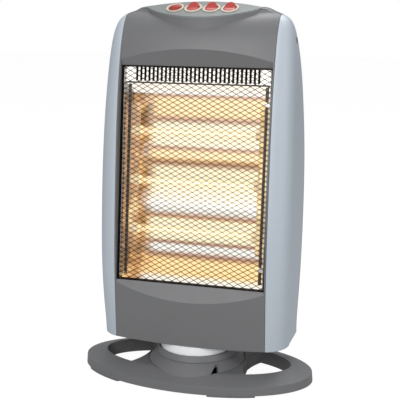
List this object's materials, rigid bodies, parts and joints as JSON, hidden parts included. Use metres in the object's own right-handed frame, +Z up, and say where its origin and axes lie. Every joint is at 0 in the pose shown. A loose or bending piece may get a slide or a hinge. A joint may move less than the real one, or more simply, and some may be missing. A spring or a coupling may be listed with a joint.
{
  "type": "oscillating heater",
  "caption": "Free-standing halogen heater: leaning head with a wire-guarded glowing window and rocker switches, swinging on an oval ring base.",
  "frame": {"origin": "centre of the oval base on the floor plane, under the spindle", "axes": "+Z up along the spindle, front with the guard faces -Y, +X to the right as seen from the front"},
  "size_m": [0.325, 0.17, 0.5043],
  "materials": {
    "base_plastic": "fine satin texture",
    "front_plastic": "satin",
    "silver_plastic": "metallic satin lacquer",
    "console_plastic": "satin",
    "bezel_plastic": "gloss",
    "rocker_plastic": "gloss",
    "white_nylon": "satin",
    "pad_rubber": "matt",
    "guard_chrome": "bright plating",
    "reflector_sheet": "polished",
    "quartz": "clear",
    "filament_wire": "glowing",
    "ceramic": "matt",
    "sheet_steel": "plain",
    "black_plastic": "matt",
    "terminal_plastic": "matt",
    "wire_sleeve": "matt"
  },
  "bodies": {
    "base": {"base_ring": "base_plastic", "base_cover": "base_plastic", "cover_screws": "sheet_steel", "foot_pads": "pad_rubber", "spindle": "sheet_steel", "spindle_screws": "sheet_steel", "spindle_nut": "sheet_steel", "thrust_ring": "white_nylon", "fixed_gear": "white_nylon"},
    "head": {"turntable_disc": "white_nylon", "disc_screws": "sheet_steel", "bottom_pan": "sheet_steel", "spindle_washer": "white_nylon", "motor_bracket": "sheet_steel", "swing_motor": "sheet_steel", "front_panel": "front_plastic", "side_panel_left": "silver_plastic", "side_panel_right": "silver_plastic", "rear_cover": "front_plastic", "rear_screws": "sheet_steel", "cable_gland": "black_plastic", "guard_rim": "guard_chrome", "guard_mesh": "guard_chrome", "reflector": "reflector_sheet", "reflector_end_left": "reflector_sheet", "reflector_end_right": "reflector_sheet", "lamp_tubes": "quartz", "lamp_filaments": "filament_wire", "lamp_caps": "ceramic", "upright_left": "sheet_steel", "upright_right": "sheet_steel", "thermal_cutout": "sheet_steel", "terminal_block": "terminal_plastic", "tilt_switch": "black_plastic", "wire_harness": "wire_sleeve", "switch_console": "console_plastic", "switch_bezels": "bezel_plastic", "switch_bodies": "black_plastic"},
    "pinion": {"drive_pinion": "white_nylon"},
    "rocker_swing": {"rocker_swing": "rocker_plastic"},
    "rocker_low": {"rocker_low": "rocker_plastic"},
    "rocker_middle": {"rocker_middle": "rocker_plastic"},
    "rocker_high": {"rocker_high": "rocker_plastic"}
  },
  "joints": [
    {"name": "head_swing", "type": "hinge", "parent": "base", "child": "head", "pos_m": [0, 0, 0.0526], "axis": [0, 0, 1], "range_deg": [-35, 35]},
    {"name": "pinion_spin", "type": "hinge", "parent": "head", "child": "pinion", "pos_m": [0.03, 0, 0.035], "axis": [0, 0, 1], "range_deg": [-106, 106]},
    {"name": "rocker_swing_tip", "type": "hinge", "parent": "head", "child": "rocker_swing", "pos_m": [-0.0375, 0.02528, 0.49423], "axis": [1, 0, 0], "range_deg": [0, 28]},
    {"name": "rocker_low_tip", "type": "hinge", "parent": "head", "child": "rocker_low", "pos_m": [-0.0125, 0.02528, 0.49423], "axis": [1, 0, 0], "range_deg": [-28, 0]},
    {"name": "rocker_middle_tip", "type": "hinge", "parent": "head", "child": "rocker_middle", "pos_m": [0.0125, 0.02528, 0.49423], "axis": [1, 0, 0], "range_deg": [-28, 0]},
    {"name": "rocker_high_tip", "type": "hinge", "parent": "head", "child": "rocker_high", "pos_m": [0.0375, 0.02528, 0.49423], "axis": [1, 0, 0], "range_deg": [-28, 0]}
  ],
  "couplings": [
    {"joint": "pinion_spin", "follows": "head_swing", "ratio": 3}
  ]
}
